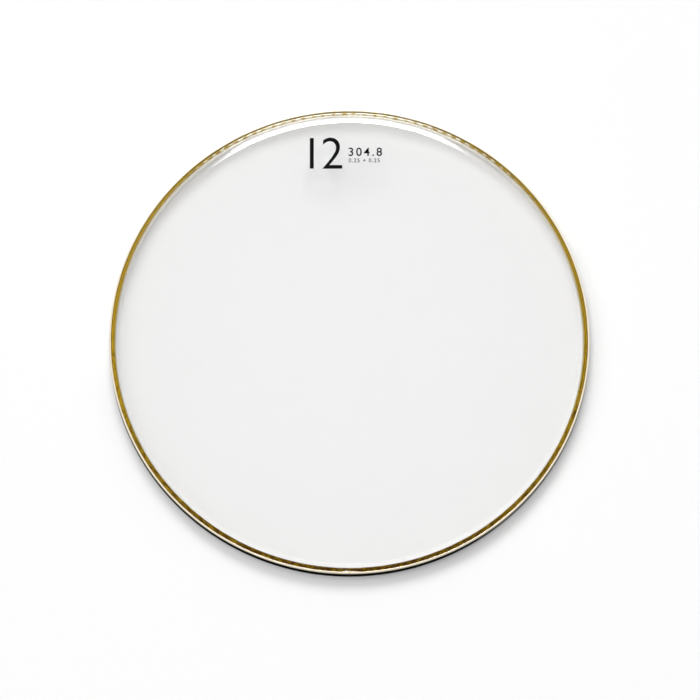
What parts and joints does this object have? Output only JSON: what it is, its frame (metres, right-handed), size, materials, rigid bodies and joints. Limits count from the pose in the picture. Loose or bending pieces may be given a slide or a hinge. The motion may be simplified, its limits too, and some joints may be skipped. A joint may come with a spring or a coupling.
{
  "type": "drum head",
  "caption": "Clear drum head: stacked plastic films with a flat playing face and a sloping collar, locked by amber resin into a slim aluminium channel hoop.",
  "frame": {"origin": "centre of the plane that the hoop's foot rests on", "axes": "+Z along the head's axis, up out of the playing face; -Y towards the joint in the hoop"},
  "size_m": [0.3142, 0.3142, 0.0177],
  "materials": {
    "clear_film": "clear glossy polyester film",
    "hoop_aluminium": "rolled aluminium with a bright lip and a dull grey wall",
    "key_aluminium": "sawn aluminium",
    "amber_resin": "glossy amber cast resin"
  },
  "bodies": {
    "root": {"upper_film": "clear_film", "lower_film": "clear_film", "hoop_channel": "hoop_aluminium", "joint_key": "key_aluminium", "resin_ring": "amber_resin"}
  },
  "joints": []
}
